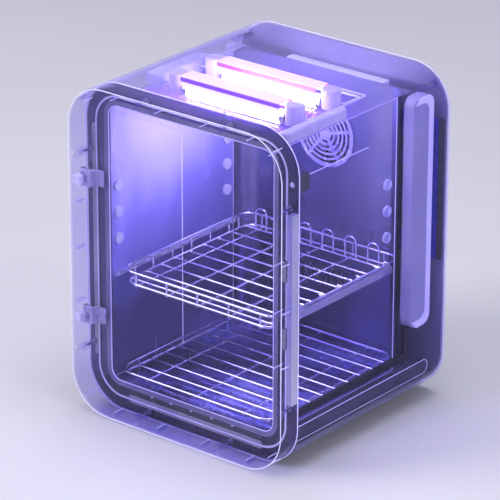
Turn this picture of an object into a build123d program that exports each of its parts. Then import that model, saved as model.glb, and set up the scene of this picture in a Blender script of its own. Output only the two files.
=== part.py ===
"""Cabinet steriliser and dryer for baby bottles, in millimetres.

The frame: +Z up, the door faces -Y, the hinge is on the -X side, and the origin is at the middle of
the footprint, on the surface that the feet stand on.
"""

import os
from math import cos, radians, sin

from build123d import *

os.makedirs("parts", exist_ok=True)

# Cabinet and door
WIDTH = 306
DEPTH = 304
HEIGHT = 400
FOOT_H = 2
SHELL_R = 51
WALL = 3
DOOR_T = 29.5
SEAM_GAP = 0.8
BODY_H = HEIGHT - FOOT_H
MID_Z = FOOT_H + BODY_H / 2
FRONT_Y = -DEPTH / 2
BACK_Y = DEPTH / 2
DOOR_BACK_Y = FRONT_Y + DOOR_T
BODY_FRONT_Y = DOOR_BACK_Y + SEAM_GAP
SIDE_X = WIDTH / 2
ARC_X = SIDE_X - SHELL_R

# Sterilising chamber, inner faces
CHAMBER_X = 118
CHAMBER_BACK_Y = 121
FLOOR_Z = 38
CEILING_Z = 372
CORNER_R = 24
SHEET = 1.5
FRAME_T = 3
PANEL_FRONT_Y = BODY_FRONT_Y + FRAME_T + 0.1
CORNER_Y = CHAMBER_BACK_Y - CORNER_R
MOUTH_R = 14

# Door hinge
HINGE_X = -145
HINGE_Y = -134
HINGE_Z = {"upper": 282, "lower": 114.5}
PIN_R = 2.5
EYE_R = 4.5
EYE_HALF = 4
EYE_SLOT = 5.5
EAR_GAP = 0.3
EAR_T = 5

# Ultraviolet lamps, T5 tubes
TUBE_R = 8
TUBE_HALF = 66
LAMP_Z = 376.5
CAP_END_X = 71.8
PIN_PITCH = 5
LAMP_Y = {"front": -42, "rear": 22}

# Racks
RACK_X = 113.5
BASKET_X = 107.5
FRAME_WIRE_R = 1.5
WIRE_R = 1.25
STUB_R = 1.1
UPPER_Z = 157
RIM_Z = 171
RAIL_X = 110.8
RAIL_Y = (-114, 94)
RAIL_Z = (161, RIM_Z - FRAME_WIRE_R - 0.3)
UPPER_Y = (-110, 116)
LOWER_Z = 48
LOWER_Y = (-116, 114)
RACK_PITCH = 25.4
UPPER_BARS = [UPPER_Y[0] + 12 + RACK_PITCH * bar for bar in range(9)]
DIVIDER_H = 27
DIVIDER_W = 16

# Rear machinery
COVER_Y = 147
COVER_T = 3.4
COVER_BACK_Y = COVER_Y + COVER_T
SCREW_R = 1.5
FIT = 0.2
FAN_Z = 294.6
FAN_SIZE = 80
FAN_Y = (124, 139)
FAN_HOLE = 35.75
STRUT_Y = 137.8
DUCT_X = 47
DUCT_Z = (84, 338)
DUCT_BACK_Y = 143
DUCT_T = 1.5
FILTER_X = 46
FILTER_Z = (50, 80)
BOSS_XZ = [(x * 133.5, z) for x in (-1, 1) for z in (21.5, HEIGHT + FOOT_H - 21.5)]
FOOT_XY = [(x * 95, y) for x in (-1, 1) for y in (-100, 120)]
SWITCH_XZ = (142.5, 340)
MAGNET_Z = (161, 241)
INLET_X = (-109, -81)
INLET_Z = (32, 52)
INLET_MID = (sum(INLET_X) / 2, sum(INLET_Z) / 2)
INLET_BACK_Y = 151.6
GRIP_X = (-68.5, 68.5)
GRIP_Z = (347.5, 366.5)
GRIP_FRONT_Y = 134.5
GRIP_T = 1.5
BOARD_X = (56, 141.8)
BOARD_Y = (144, 145.6)
BOARD_Z = (168, 339)
BOARD_POSTS = [(x, z) for x in (62, 134) for z in (176, 331)]
THROUGH_COVER = (140, 155)


def save(piece, name):
    """Label a finished sub-part and write its STEP file."""
    piece.part.label = name
    export_step(piece.part, f"parts/{name}.step")


def upright(y):
    """The upright plane at depth y, seen from the front: its x is +X and its y is +Z."""
    return Plane.XZ.offset(-y)


def block(x, y, z, mode=Mode.ADD):
    """A box between two limits along each axis."""
    with Locations((sum(x) / 2, sum(y) / 2, sum(z) / 2)):
        Box(x[1] - x[0], y[1] - y[0], z[1] - z[0], mode=mode)


def wider(limits, extra):
    """Two limits, each moved outwards."""
    return (limits[0] - extra, limits[1] + extra)


def rod(start, end, radius, mode=Mode.ADD):
    """A round bar, or a round hole, from one point to another."""
    run = Vector(*end) - Vector(*start)
    with Locations(Plane(origin=start, z_dir=run)):
        Cylinder(radius, run.length, align=(Align.CENTER, Align.CENTER, Align.MIN), mode=mode)


def outline(y, inset):
    """The cabinet's rounded outline at depth y, drawn in by inset."""
    with BuildSketch(upright(y)) as face:
        with Locations((0, MID_Z)):
            RectangleRounded(WIDTH - 2 * inset, BODY_H - 2 * inset, SHELL_R - inset)
    return face.sketch


def outline_ring(y, outer, inner):
    """A band that follows the cabinet's outline, between two insets."""
    with BuildSketch(upright(y)) as face:
        with Locations((0, MID_Z)):
            RectangleRounded(WIDTH - 2 * outer, BODY_H - 2 * outer, SHELL_R - outer)
            RectangleRounded(
                WIDTH - 2 * inner, BODY_H - 2 * inner, SHELL_R - inner, mode=Mode.SUBTRACT
            )
    return face.sketch


def rounded_panel(plane, x, y, corner):
    """A rounded rectangle on a plane, between two limits along each of the plane's axes."""
    with BuildSketch(plane) as face:
        with Locations((sum(x) / 2, sum(y) / 2)):
            RectangleRounded(x[1] - x[0], y[1] - y[0], corner)
    return face.sketch


def wire_loop(half_x, y, z, corner, radius):
    """A closed hoop of round wire, level, with rounded corners."""
    with BuildSketch(Plane.XY.offset(z)) as hoop:
        with Locations((0, sum(y) / 2)):
            RectangleRounded(2 * half_x, y[1] - y[0], corner)
    path = hoop.sketch.face().outer_wire()
    with BuildSketch(Plane(origin=path @ 0, z_dir=path % 0)) as section:
        Circle(radius)
    sweep(section.sketch, path=path)


# ---------------------------------------------------------------- cabinet shell

with BuildPart() as outer_shell:
    extrude(outline(BODY_FRONT_Y, 0), amount=-(BACK_Y - BODY_FRONT_Y))
    fillet(outer_shell.faces().sort_by(Axis.Y)[-1].edges(), 2.4)
    extrude(outline(BODY_FRONT_Y, WALL), amount=-(BACK_Y - BODY_FRONT_Y), mode=Mode.SUBTRACT)
    for boss_x, boss_z in BOSS_XZ:
        rod((boss_x, 118, boss_z), (boss_x, COVER_Y - 0.1, boss_z), 5)
        rod((boss_x, 125, boss_z), (boss_x, COVER_Y, boss_z), 1.6, mode=Mode.SUBTRACT)
    for foot_x, foot_y in FOOT_XY:
        rod((foot_x, foot_y, 0), (foot_x, foot_y, 10), 3.2, mode=Mode.SUBTRACT)
save(outer_shell, "outer_shell")

with BuildPart() as feet:
    for foot_x, foot_y in FOOT_XY:
        rod((foot_x, foot_y, 0), (foot_x, foot_y, FOOT_H), 9)
        rod((foot_x, foot_y, FOOT_H), (foot_x, foot_y, FOOT_H + WALL + 1), 3.1)
save(feet, "feet")


def ring_slots(plane, radii, width, spokes, start_angle):
    """Concentric slots about the plane's origin, crossed by plain spokes."""
    with BuildSketch(plane) as slots:
        for radius in sorted(radii, reverse=True):
            Circle(radius + width / 2)
            Circle(radius - width / 2, mode=Mode.SUBTRACT)
        with PolarLocations(0, spokes, start_angle=start_angle):
            Rectangle(2 * max(radii), 4, align=(Align.MIN, Align.CENTER), mode=Mode.SUBTRACT)
    return slots.sketch


def fan_plane(y):
    """The upright plane at depth y with its origin on the fan's axis."""
    return Plane(origin=(0, y, FAN_Z), x_dir=(1, 0, 0), z_dir=(0, -1, 0))


with BuildPart() as rear_cover:
    extrude(outline(COVER_Y, WALL + 0.4), amount=-COVER_T)
    slots = ring_slots(fan_plane(COVER_Y), [12, 18, 24, 30, 36], 3, 6, 0)
    extrude(slots, amount=-COVER_T, mode=Mode.SUBTRACT)
    block(wider(INLET_X, FIT), THROUGH_COVER, wider(INLET_Z, FIT), mode=Mode.SUBTRACT)
    block((-FILTER_X, FILTER_X), THROUGH_COVER, FILTER_Z, mode=Mode.SUBTRACT)
    block(GRIP_X, THROUGH_COVER, GRIP_Z, mode=Mode.SUBTRACT)
    for boss_x, boss_z in BOSS_XZ:
        rod(
            (boss_x, THROUGH_COVER[0], boss_z),
            (boss_x, THROUGH_COVER[1], boss_z),
            SCREW_R + 0.4,
            mode=Mode.SUBTRACT,
        )
    for post_x, post_z in BOARD_POSTS:
        rod((post_x, BOARD_Y[1], post_z), (post_x, COVER_Y, post_z), 3)
save(rear_cover, "rear_cover")

with BuildPart() as rear_screws:
    for boss_x, boss_z in BOSS_XZ:
        rod((boss_x, 134, boss_z), (boss_x, COVER_BACK_Y, boss_z), SCREW_R)
        rod((boss_x, COVER_BACK_Y, boss_z), (boss_x, COVER_BACK_Y + 1.5, boss_z), 3.2)
save(rear_screws, "rear_screws")

with BuildPart() as rear_grip:
    block(
        wider(GRIP_X, GRIP_T), (GRIP_FRONT_Y - GRIP_T, COVER_Y - 0.1), wider(GRIP_Z, GRIP_T)
    )
    fillet(rear_grip.faces().sort_by(Axis.Y)[0].edges(), 3)
    block(GRIP_X, (GRIP_FRONT_Y, 150), GRIP_Z, mode=Mode.SUBTRACT)
save(rear_grip, "rear_grip")


# ---------------------------------------------------------------- front frame and its strips

GASKET_INSET = (15.5, 18.5)
PAD_LEFT = ((-142.6, -134.5), (62, 345))
PAD_LOW = ((-92, 103), (15, 24.4))
PANEL_XZ = ((-90, 103), (26.6, 36.4))
DISPLAY_XZ = ((-64, 76), (24.6, 26.4))
KEYS_X = (-58, -30, 0, 30, 60)
KEY_Z = 31.5
KEY_R = 1.9
RECESS_Y = (BODY_FRONT_Y, BODY_FRONT_Y + 1.5)


def gasket_face(y):
    """The door seal's outline: a narrow bead all round, wider down the hinge side and below."""
    with BuildSketch(upright(y)) as face:
        add(outline_ring(y, *GASKET_INSET))
        for pad_x, pad_z in (PAD_LEFT, PAD_LOW):
            add(rounded_panel(upright(y), pad_x, pad_z, 3))
    return face.sketch


with BuildPart() as front_frame:
    extrude(outline(BODY_FRONT_Y, WALL + 0.3), amount=-FRAME_T)
    mouth = rounded_panel(
        upright(BODY_FRONT_Y), (-CHAMBER_X, CHAMBER_X), (FLOOR_Z, CEILING_Z), MOUTH_R
    )
    extrude(mouth, amount=-FRAME_T, mode=Mode.SUBTRACT)
    extrude(gasket_face(BODY_FRONT_Y), amount=-1.8, mode=Mode.SUBTRACT)
    block(PANEL_XZ[0], RECESS_Y, PANEL_XZ[1], mode=Mode.SUBTRACT)
    block(DISPLAY_XZ[0], RECESS_Y, DISPLAY_XZ[1], mode=Mode.SUBTRACT)
    for hinge_z in HINGE_Z.values():
        arm_z = (hinge_z - EYE_HALF - 0.6, hinge_z + EYE_HALF + 0.6)
        block((-151, -144), (-125, -115), arm_z, mode=Mode.SUBTRACT)
    rod(
        (SWITCH_XZ[0], -125, SWITCH_XZ[1]),
        (SWITCH_XZ[0], -110, SWITCH_XZ[1]),
        3.5,
        mode=Mode.SUBTRACT,
    )
save(front_frame, "front_frame")

with BuildPart() as door_gasket:
    extrude(gasket_face(BODY_FRONT_Y - 0.4), amount=-2.1)
save(door_gasket, "door_gasket")

with BuildPart() as control_panel:
    block(PANEL_XZ[0], (BODY_FRONT_Y - 0.2, BODY_FRONT_Y + 1.4), PANEL_XZ[1])
    for key_x in KEYS_X:
        rod(
            (key_x, -123, KEY_Z),
            (key_x, BODY_FRONT_Y + 0.6, KEY_Z),
            KEY_R + 0.1,
            mode=Mode.SUBTRACT,
        )
save(control_panel, "control_panel")

with BuildPart() as touch_keys:
    for key_x in KEYS_X:
        rod((key_x, BODY_FRONT_Y - 0.2, KEY_Z), (key_x, BODY_FRONT_Y + 0.6, KEY_Z), KEY_R)
save(touch_keys, "touch_keys")

with BuildPart() as display_strip:
    block(DISPLAY_XZ[0], (BODY_FRONT_Y - 0.1, BODY_FRONT_Y + 1.4), DISPLAY_XZ[1])
save(display_strip, "display_strip")


# ---------------------------------------------------------------- chamber

SHEET_X = CHAMBER_X + SHEET
SHEET_BACK_Y = CHAMBER_BACK_Y + SHEET
PEG_YZ = [(y, z) for y in (-108, 84) for z in (207, 239, 271)]

with BuildPart() as chamber_floor:
    block((-SHEET_X, SHEET_X), (PANEL_FRONT_Y, SHEET_BACK_Y), (FLOOR_Z - SHEET, FLOOR_Z))
save(chamber_floor, "chamber_floor")

with BuildPart() as chamber_ceiling:
    block((-SHEET_X, SHEET_X), (PANEL_FRONT_Y, SHEET_BACK_Y), (CEILING_Z, CEILING_Z + SHEET))
    for lamp_y in LAMP_Y.values():
        block((-72.2, 72.2), (lamp_y - 16, lamp_y + 12), (370, 376), mode=Mode.SUBTRACT)
save(chamber_ceiling, "chamber_ceiling")

for side, name in ((-1, "left"), (1, "right")):
    with BuildPart() as chamber_wall:
        wall_x = sorted((side * CHAMBER_X, side * SHEET_X))
        block(wall_x, (PANEL_FRONT_Y, CORNER_Y), (FLOOR_Z, CEILING_Z))
        for peg_y, peg_z in PEG_YZ:
            rod((side * 116, peg_y, peg_z), (side * 121, peg_y, peg_z), 3.1, mode=Mode.SUBTRACT)
    save(chamber_wall, f"chamber_{name}_wall")

    with BuildPart() as rack_rail:
        block(sorted((side * CHAMBER_X, side * RAIL_X)), RAIL_Y, (RAIL_Z[1] - 1.8, RAIL_Z[1]))
        block(sorted((side * CHAMBER_X, side * (CHAMBER_X - 1.6))), RAIL_Y, RAIL_Z)
        block(sorted((side * (RAIL_X + 1.2), side * RAIL_X)), RAIL_Y, (RAIL_Z[1] - 4.2, RAIL_Z[1]))
    save(rack_rail, f"rack_rail_{name}")

with BuildPart() as chamber_back_wall:
    with BuildSketch(Plane.XY.offset(FLOOR_Z)) as back_profile:
        RectangleRounded(2 * SHEET_X, 2 * SHEET_BACK_Y, CORNER_R + SHEET)
        RectangleRounded(2 * CHAMBER_X, 2 * CHAMBER_BACK_Y, CORNER_R, mode=Mode.SUBTRACT)
        with Locations((0, CORNER_Y)):
            Rectangle(3 * CHAMBER_X, 2 * DEPTH, align=(Align.CENTER, Align.MAX), mode=Mode.SUBTRACT)
    extrude(amount=CEILING_Z - FLOOR_Z)
    rod((0, 110, FAN_Z), (0, 130, FAN_Z), 36.6, mode=Mode.SUBTRACT)
    for slot in range(9):
        slot_x = 8 * (slot - 4)
        block((slot_x - 2, slot_x + 2), (115, 125), (104, 128), mode=Mode.SUBTRACT)
save(chamber_back_wall, "chamber_back_wall")

with BuildPart() as rack_pegs:
    for side in (-1, 1):
        for peg_y, peg_z in PEG_YZ:
            rod((side * CHAMBER_X, peg_y, peg_z), (side * 120.5, peg_y, peg_z), 3)
            rod((side * 115.2, peg_y, peg_z), (side * CHAMBER_X, peg_y, peg_z), 6.5)
save(rack_pegs, "rack_pegs")

with BuildPart() as fan_grille:
    with BuildSketch(fan_plane(CHAMBER_BACK_Y - 1.8)) as grille_disc:
        Circle(40.5)
    extrude(amount=-1.7)
    slots = ring_slots(fan_plane(CHAMBER_BACK_Y - 1.8), [10, 16, 22, 28, 34], 3.2, 5, 15)
    extrude(slots, amount=-1.7, mode=Mode.SUBTRACT)
save(fan_grille, "fan_grille")


# ---------------------------------------------------------------- lamps above the ceiling

ABOVE_Z = CEILING_Z + SHEET
HOLDER_X = 83
HOLDER_R = 11

for place, lamp_y in LAMP_Y.items():
    with BuildPart() as uv_tube:
        rod((-TUBE_HALF, lamp_y, LAMP_Z), (TUBE_HALF, lamp_y, LAMP_Z), TUBE_R)
        rod(
            (-TUBE_HALF, lamp_y, LAMP_Z),
            (TUBE_HALF, lamp_y, LAMP_Z),
            TUBE_R - 0.8,
            mode=Mode.SUBTRACT,
        )
    save(uv_tube, f"uv_tube_{place}")

    with BuildPart() as reflector:
        block((-70.5, 70.5), (lamp_y - 12, lamp_y + 12), (385.5, 396.4))
        fillet(reflector.faces().sort_by(Axis.Z)[-1].edges().filter_by(Axis.X), 2.5)
        block((-72, 72), (lamp_y - 10.8, lamp_y + 10.8), (384, 395.2), mode=Mode.SUBTRACT)
    save(reflector, f"reflector_{place}")

    with BuildPart() as lamp_holders:
        for side in (-1, 1):
            rod((side * HOLDER_X, lamp_y, ABOVE_Z), (side * HOLDER_X, lamp_y, 396.2), HOLDER_R)
        fillet(lamp_holders.faces().sort_by(Axis.Z)[-2:].edges(), 2)
        for side in (-1, 1):
            socket_x = sorted((side * 60, side * 72.4))
            block(socket_x, (lamp_y - 12, lamp_y + 12), (370, 400), mode=Mode.SUBTRACT)
            for pin_y in (lamp_y - PIN_PITCH / 2, lamp_y + PIN_PITCH / 2):
                inner = (side * 70, pin_y, LAMP_Z)
                rod(inner, (side * 79, pin_y, LAMP_Z), 1.25, mode=Mode.SUBTRACT)
    save(lamp_holders, f"lamp_holders_{place}")

with BuildPart() as lamp_caps:
    for lamp_y in LAMP_Y.values():
        for side in (-1, 1):
            rod((side * TUBE_HALF, lamp_y, LAMP_Z), (side * CAP_END_X, lamp_y, LAMP_Z), TUBE_R)
            rod((side * 60, lamp_y, LAMP_Z), (side * TUBE_HALF, lamp_y, LAMP_Z), TUBE_R - 0.9)
            for pin_y in (lamp_y - PIN_PITCH / 2, lamp_y + PIN_PITCH / 2):
                rod((side * CAP_END_X, pin_y, LAMP_Z), (side * 78, pin_y, LAMP_Z), 1.15)
save(lamp_caps, "lamp_caps")

BALLAST_X = (-124, -104)
BALLAST_Y = (-50, 40)
with BuildPart() as ballast:
    block(BALLAST_X, BALLAST_Y, (ABOVE_Z, 389))
    fillet(ballast.faces().sort_by(Axis.Z)[-1].edges(), 2.5)
save(ballast, "ballast")

CABLE_Z = 380
CABLE_R = 1.3
with BuildPart() as lamp_harness:
    for lane, lamp_y in enumerate(LAMP_Y.values()):
        rod((BALLAST_X[1], lamp_y, CABLE_Z), (-HOLDER_X - HOLDER_R, lamp_y, CABLE_Z), CABLE_R)
        start_x = -112 - 4 * lane
        back_y = 62 - 8 * lane
        side_x = 101 - 2.5 * lane
        with BuildLine() as route:
            FilletPolyline(
                (start_x, BALLAST_Y[1], CABLE_Z),
                (start_x, back_y, CABLE_Z),
                (side_x, back_y, CABLE_Z),
                (side_x, lamp_y + 4, CABLE_Z),
                (93.8, lamp_y + 4, CABLE_Z),
                radius=2.6,
            )
        with BuildSketch(Plane(origin=route.line @ 0, z_dir=route.line % 0)):
            Circle(CABLE_R)
        sweep(path=route.line)
save(lamp_harness, "lamp_harness")

with BuildPart() as temperature_sensor:
    with Locations((22, -88, ABOVE_Z)):
        Cone(5, 1.6, 12, align=(Align.CENTER, Align.CENTER, Align.MIN))
save(temperature_sensor, "temperature_sensor")

CHANNEL_X = (105.5, 118)
CHANNEL_Y = (-100, 8)
CHANNEL_T = 1.6
with BuildPart() as cable_channel:
    base = Plane.XY.offset(ABOVE_Z)
    extrude(rounded_panel(base, CHANNEL_X, CHANNEL_Y, 6.1), amount=12)
    fillet(cable_channel.faces().sort_by(Axis.Z)[-1].edges(), 2.5)
    hollow = rounded_panel(base, wider(CHANNEL_X, -CHANNEL_T), wider(CHANNEL_Y, -CHANNEL_T), 4.5)
    extrude(hollow, amount=12 - CHANNEL_T, mode=Mode.SUBTRACT)
save(cable_channel, "cable_channel")


# ---------------------------------------------------------------- ducts and seals beside the chamber

SIDE_DUCT_Y = (102, 138)
SIDE_DUCT_Z = (92, 372)
SEAL_X = (SHEET_X, 124)
SEAL_Y = (-118, 118.5)
SEAL_Z = (46, 368)


def side_tray(side, x, y, z, corner, wall):
    """A shallow rounded tray standing on edge, open towards the chamber."""
    outer_x = side * x[1]
    plane = Plane(origin=(outer_x, 0, 0), x_dir=(0, 1, 0), z_dir=(1, 0, 0))
    depth = -side * (x[1] - x[0])
    extrude(rounded_panel(plane, y, z, corner), amount=depth)
    inner = Plane(origin=(outer_x - side * wall, 0, 0), x_dir=(0, 1, 0), z_dir=(1, 0, 0))
    hollow = rounded_panel(inner, wider(y, -wall), wider(z, -wall), corner - wall)
    extrude(hollow, amount=depth, mode=Mode.SUBTRACT)


for side, name in ((-1, "left"), (1, "right")):
    with BuildPart() as side_duct:
        side_tray(side, (124.2, 138), SIDE_DUCT_Y, SIDE_DUCT_Z, 12, 1.6)
    save(side_duct, f"side_duct_{name}")

with BuildPart() as base_duct:
    side_tray(1, (124.2, 137), (-117, 140), (27, 45.6), 9.2, 1.6)
save(base_duct, "base_duct")

with BuildPart() as edge_seal:
    block(SEAL_X, SEAL_Y, (SEAL_Z[0], SEAL_Z[0] + 8.5))
    block(SEAL_X, (SEAL_Y[1] - 7, SEAL_Y[1]), SEAL_Z)
save(edge_seal, "edge_seal")


# ---------------------------------------------------------------- fan, heater and duct behind the chamber

with BuildPart() as air_duct:
    block((-DUCT_X, DUCT_X), (SHEET_BACK_Y + 0.1, DUCT_BACK_Y), DUCT_Z)
    fillet(air_duct.faces().sort_by(Axis.Y)[-1].edges(), 4)
    hollow_x = (-DUCT_X + DUCT_T, DUCT_X - DUCT_T)
    hollow_y = (SHEET_BACK_Y, DUCT_BACK_Y - DUCT_T)
    block(hollow_x, hollow_y, wider(DUCT_Z, -DUCT_T), mode=Mode.SUBTRACT)
    block((-30, 30), (126, 138), (80, 90), mode=Mode.SUBTRACT)
save(air_duct, "air_duct")

with BuildPart() as fan_frame:
    half = FAN_SIZE / 2
    extrude(rounded_panel(fan_plane(FAN_Y[0]), (-half, half), (-half, half), 4), amount=FAN_Y[0] - FAN_Y[1])
    rod((0, 120, FAN_Z), (0, 140, FAN_Z), 37.5, mode=Mode.SUBTRACT)
    for screw_x in (-FAN_HOLE, FAN_HOLE):
        for screw_z in (FAN_Z - FAN_HOLE, FAN_Z + FAN_HOLE):
            rod((screw_x, 120, screw_z), (screw_x, 140, screw_z), 2.1, mode=Mode.SUBTRACT)
    rod((0, 136.5, FAN_Z), (0, FAN_Y[1], FAN_Z), 17.5)
    for strut in range(4):
        angle = radians(45 + 90 * strut)
        rod(
            (15 * cos(angle), STRUT_Y, FAN_Z + 15 * sin(angle)),
            (39 * cos(angle), STRUT_Y, FAN_Z + 39 * sin(angle)),
            1.2,
        )
    rod((0, 128, FAN_Z), (0, 136.5, FAN_Z), 4)
    rod((0, 127, FAN_Z), (0, 138, FAN_Z), 1.55, mode=Mode.SUBTRACT)
save(fan_frame, "fan_frame")

BLADES = 7
BLADE_PITCH = radians(50)
with BuildPart() as fan_rotor:
    rod((0, 125, FAN_Z), (0, 135.6, FAN_Z), 17)
    rod((0, 127, FAN_Z), (0, 136, FAN_Z), 15.4, mode=Mode.SUBTRACT)
    rod((0, 126.5, FAN_Z), (0, 137, FAN_Z), 1.5)
    for blade in range(BLADES):
        angle = radians(360 * blade / BLADES)
        out = Vector(cos(angle), 0, sin(angle))
        along = Vector(-sin(angle), 0, cos(angle))
        face_normal = Vector(0, cos(BLADE_PITCH), 0) + along * sin(BLADE_PITCH)
        centre = Vector(0, 130.5, FAN_Z) + out * 26.3
        with Locations(Plane(origin=centre, x_dir=out, z_dir=face_normal)):
            Box(19.8, 11.6, 1.4)
save(fan_rotor, "fan_rotor")

HEATER_X = 38
HEATER_Z = (100, 132)
CORE_X = (-34, 34)
CORE_Z = (104, 128)
with BuildPart() as heater_frame:
    block((-HEATER_X, HEATER_X), (125, 139), HEATER_Z)
    block(CORE_X, (120, 145), CORE_Z, mode=Mode.SUBTRACT)
save(heater_frame, "heater_frame")

with BuildPart() as heater_fins:
    for tube_z in (109, 121):
        block(wider(CORE_X, -FIT), (127, 137), (tube_z, tube_z + 2))
    for fin in range(17):
        fin_x = 4 * (fin - 8)
        block((fin_x - 0.4, fin_x + 0.4), (126, 138), wider(CORE_Z, -FIT))
save(heater_fins, "heater_fins")

with BuildPart() as control_board:
    block(BOARD_X, BOARD_Y, BOARD_Z)
    for post_x, post_z in BOARD_POSTS:
        rod((post_x, 140, post_z), (post_x, 150, post_z), 1.5, mode=Mode.SUBTRACT)
save(control_board, "control_board")

with BuildPart() as board_parts:
    block((66, 96), (128, BOARD_Y[0]), (200, 232))
    block((66, 82), (132, BOARD_Y[0]), (248, 262))
    block((88, 112), (136, BOARD_Y[0]), (250, 274))
    for cap_x, cap_z in ((104, 206), (104, 226), (72, 286), (92, 300)):
        rod((cap_x, 130, cap_z), (cap_x, BOARD_Y[0], cap_z), 5)
save(board_parts, "board_parts")

with BuildPart() as power_inlet:
    block(INLET_X, (130, INLET_BACK_Y), INLET_Z)
    with BuildSketch(upright(INLET_BACK_Y)):
        with Locations(INLET_MID):
            SlotOverall(19, 10)
    extrude(amount=14, mode=Mode.SUBTRACT)
    for side in (-1, 1):
        pin_x = INLET_MID[0] + 4.3 * side
        rod((pin_x, 136, INLET_MID[1]), (pin_x, 149, INLET_MID[1]), 1.3)
save(power_inlet, "power_inlet")

LID_FRONT_Y = 148.2
with BuildPart() as filter_cover:
    block((-FILTER_X + 0.4, FILTER_X - 0.4), (LID_FRONT_Y, COVER_BACK_Y), wider(FILTER_Z, -0.4))
    block((-41, 41), (135, LID_FRONT_Y), (53, 77))
    block((-39.5, 39.5), (136.5, LID_FRONT_Y), (54.5, 75.5), mode=Mode.SUBTRACT)
    for slat in range(8):
        slat_x = 9.6 * (slat - 3.5)
        block((slat_x - 3.2, slat_x + 3.2), (130, 152), (56, 74), mode=Mode.SUBTRACT)
    block((-12, 12), (COVER_BACK_Y, 151.9), (77, 79))
save(filter_cover, "filter_cover")

with BuildPart() as filter_pad:
    block((-39.3, 39.3), (136.7, 148), (54.7, 75.3))
save(filter_pad, "filter_pad")


# ---------------------------------------------------------------- door

RIB_Z = (134.5, 199, 255)
RIB_X = (-90, -26, 38, 103)
SIDE_POSTS = [(x, z) for x in (-142.5, 142.5) for z in (77, 314)]
END_POSTS = [(x, z) for x in (-60, 60) for z in (12.5, HEIGHT + FOOT_H - 12.5)]
HANDLE_Z = (86, 310)
LID_Y = (-125.8, -122.8)
GLASS_Y = (-129, -126)

with BuildPart() as door_front:
    extrude(outline(FRONT_Y, 0), amount=-DOOR_T)
    fillet(door_front.faces().sort_by(Axis.Y)[0].edges(), 6)
    extrude(outline(FRONT_Y + WALL, WALL), amount=-DOOR_T, mode=Mode.SUBTRACT)
    for side in (-1, 1):
        for rib_z in RIB_Z:
            rib_x = sorted((side * 141, side * 151))
            block(rib_x, (FRONT_Y + 1, -134), (rib_z - 0.8, rib_z + 0.8))
        for rib_x in RIB_X:
            rib_z = sorted((MID_Z + side * 189, MID_Z + side * 197))
            block((rib_x - 0.8, rib_x + 0.8), (FRONT_Y + 1, -134), rib_z)
        for height in (-1, 1):
            corner = (side * ARC_X, -142.5, MID_Z + height * (BODY_H / 2 - SHELL_R))
            diagonal = Vector(side, 0, height)
            with Locations(Plane(origin=corner, x_dir=diagonal, z_dir=(0, 1, 0))):
                with Locations((46, 0, 0)):
                    Box(8, 1.6, 17)
    for post_x, post_z in SIDE_POSTS + END_POSTS:
        rod((post_x, FRONT_Y + 1, post_z), (post_x, LID_Y[0] - 0.1, post_z), 4)
        rod((post_x, -140, post_z), (post_x, -120, post_z), 1.4, mode=Mode.SUBTRACT)
    for post_x, post_z in SIDE_POSTS:
        web_x = sorted((post_x * 1.03, post_x * 1.06))
        block(web_x, (FRONT_Y + 1, -132), (post_z - 4, post_z + 4))
    for post_x, post_z in END_POSTS:
        web_z = (4, 9) if post_z < MID_Z else (HEIGHT - 7, HEIGHT - 2)
        block((post_x - 4, post_x + 4), (FRONT_Y + 1, -132), web_z)
    for pad_x in (-66, 66):
        with BuildSketch(Plane.XY.offset(FOOT_H + WALL - 0.5)):
            with Locations((pad_x, -131)):
                Ellipse(8, 4.5)
        extrude(amount=2)
    block((149, 154), (-134, -120), wider(HANDLE_Z, 0.4), mode=Mode.SUBTRACT)
    for hinge_z in HINGE_Z.values():
        eye_z = (hinge_z - EYE_SLOT, hinge_z + EYE_SLOT)
        block((-154, -144), (-140, -120), eye_z, mode=Mode.SUBTRACT)
    with BuildSketch() as hinge_bevel:
        with BuildLine():
            Polyline(
                (-148.2, -122),
                (-148.2, -122.5),
                (-150, -123.1),
                (-153, -125.1),
                (-155, -126.8),
                (-155, -122),
                close=True,
            )
        make_face()
    extrude(amount=HEIGHT + 10, mode=Mode.SUBTRACT)
save(door_front, "door_front")

with BuildPart() as door_inner_frame:
    extrude(outline(LID_Y[0], WALL + 1.5), amount=-(LID_Y[1] - LID_Y[0]))
    opening = rounded_panel(upright(LID_Y[0]), (-112, 112), (44, 366), 12)
    extrude(opening, amount=-(LID_Y[1] - LID_Y[0]), mode=Mode.SUBTRACT)
    block((146, 150), (-127, -120), wider(HANDLE_Z, 1), mode=Mode.SUBTRACT)
    for hinge_z in HINGE_Z.values():
        eye_z = (hinge_z - EYE_SLOT, hinge_z + EYE_SLOT)
        block((-150, -143.9), (-127, -120), eye_z, mode=Mode.SUBTRACT)
    for post_x, post_z in SIDE_POSTS + END_POSTS:
        rod((post_x, -127, post_z), (post_x, -120, post_z), 1.6, mode=Mode.SUBTRACT)
        rod((post_x, -124.5, post_z), (post_x, -120, post_z), 3.3, mode=Mode.SUBTRACT)
save(door_inner_frame, "door_inner_frame")

with BuildPart() as door_screws:
    for post_x, post_z in SIDE_POSTS + END_POSTS:
        rod((post_x, -136, post_z), (post_x, -124.4, post_z), 1.3)
        rod((post_x, -124.4, post_z), (post_x, -123, post_z), 3)
save(door_screws, "door_screws")

with BuildPart() as door_window:
    pane = rounded_panel(upright(GLASS_Y[0]), (-116, 116), (40, 370), 14)
    extrude(pane, amount=-(GLASS_Y[1] - GLASS_Y[0]))
save(door_window, "door_window")

with BuildPart() as door_handle:
    block((146.4, 152.8), (-133.7, -123.4), HANDLE_Z)
save(door_handle, "door_handle")

with BuildPart() as door_magnets:
    for magnet_z in MAGNET_Z:
        block((136, 142), (-130, LID_Y[0]), (magnet_z - 12, magnet_z + 12))
save(door_magnets, "door_magnets")

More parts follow.
